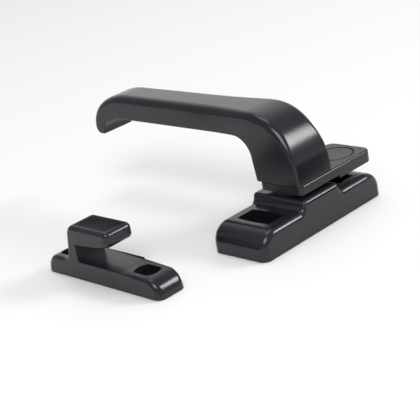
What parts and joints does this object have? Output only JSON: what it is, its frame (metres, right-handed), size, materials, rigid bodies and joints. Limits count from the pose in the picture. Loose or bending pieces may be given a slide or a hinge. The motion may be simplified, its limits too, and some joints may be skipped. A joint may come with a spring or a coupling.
{
  "type": "window cam handle",
  "caption": "Black die-cast casement window cam handle with an arched turning grip and locking tongue, and its matching hook keeper.",
  "frame": {"origin": "on the underside of the handle base, on the lever's turning axis, which is midway between the two fixing screws", "axes": "+Z away from the window sash along the turning axis, +Y along the base towards the tongue at rest, -X along the grip at rest; the keeper lies on the same plane with its length along X"},
  "size_m": [0.1365, 0.1267, 0.054],
  "materials": {
    "black_base": "satin black powder coat on a zinc die casting",
    "black_lever": "satin black powder coat on a zinc die casting",
    "black_tongue": "satin black powder coat on a zinc die casting",
    "black_keeper": "satin black powder coat on a zinc die casting",
    "button_nylon": "matt black moulded nylon",
    "bush_nylon": "matt black moulded nylon",
    "slip_nylon": "natural white nylon",
    "steel": "zinc plated, lightly turned",
    "spring_steel": "oiled spring steel",
    "screw_steel": "bright zinc plated"
  },
  "bodies": {
    "base": {"base_casting": "black_base", "pivot_bush": "bush_nylon", "stop_pin": "steel"},
    "lever": {"lever_casting": "black_lever", "tongue_plate": "black_tongue", "tongue_button": "button_nylon", "spindle": "steel", "thrust_washer": "bush_nylon", "slip_washer": "slip_nylon", "disc_spring": "spring_steel", "stop_disc": "steel", "clamp_washer": "steel", "clamp_screw": "screw_steel"},
    "keeper": {"keeper_casting": "black_keeper"}
  },
  "joints": [
    {"name": "lever_turn", "type": "hinge", "parent": "base", "child": "lever", "pos_m": [0, 0, 0], "axis": [0, 0, 1], "range_deg": [0, 90]},
    {"name": "keeper_place", "type": "slide", "parent": "base", "child": "keeper", "axis": [0, -1, 0], "range_m": [0, 0.03]}
  ]
}
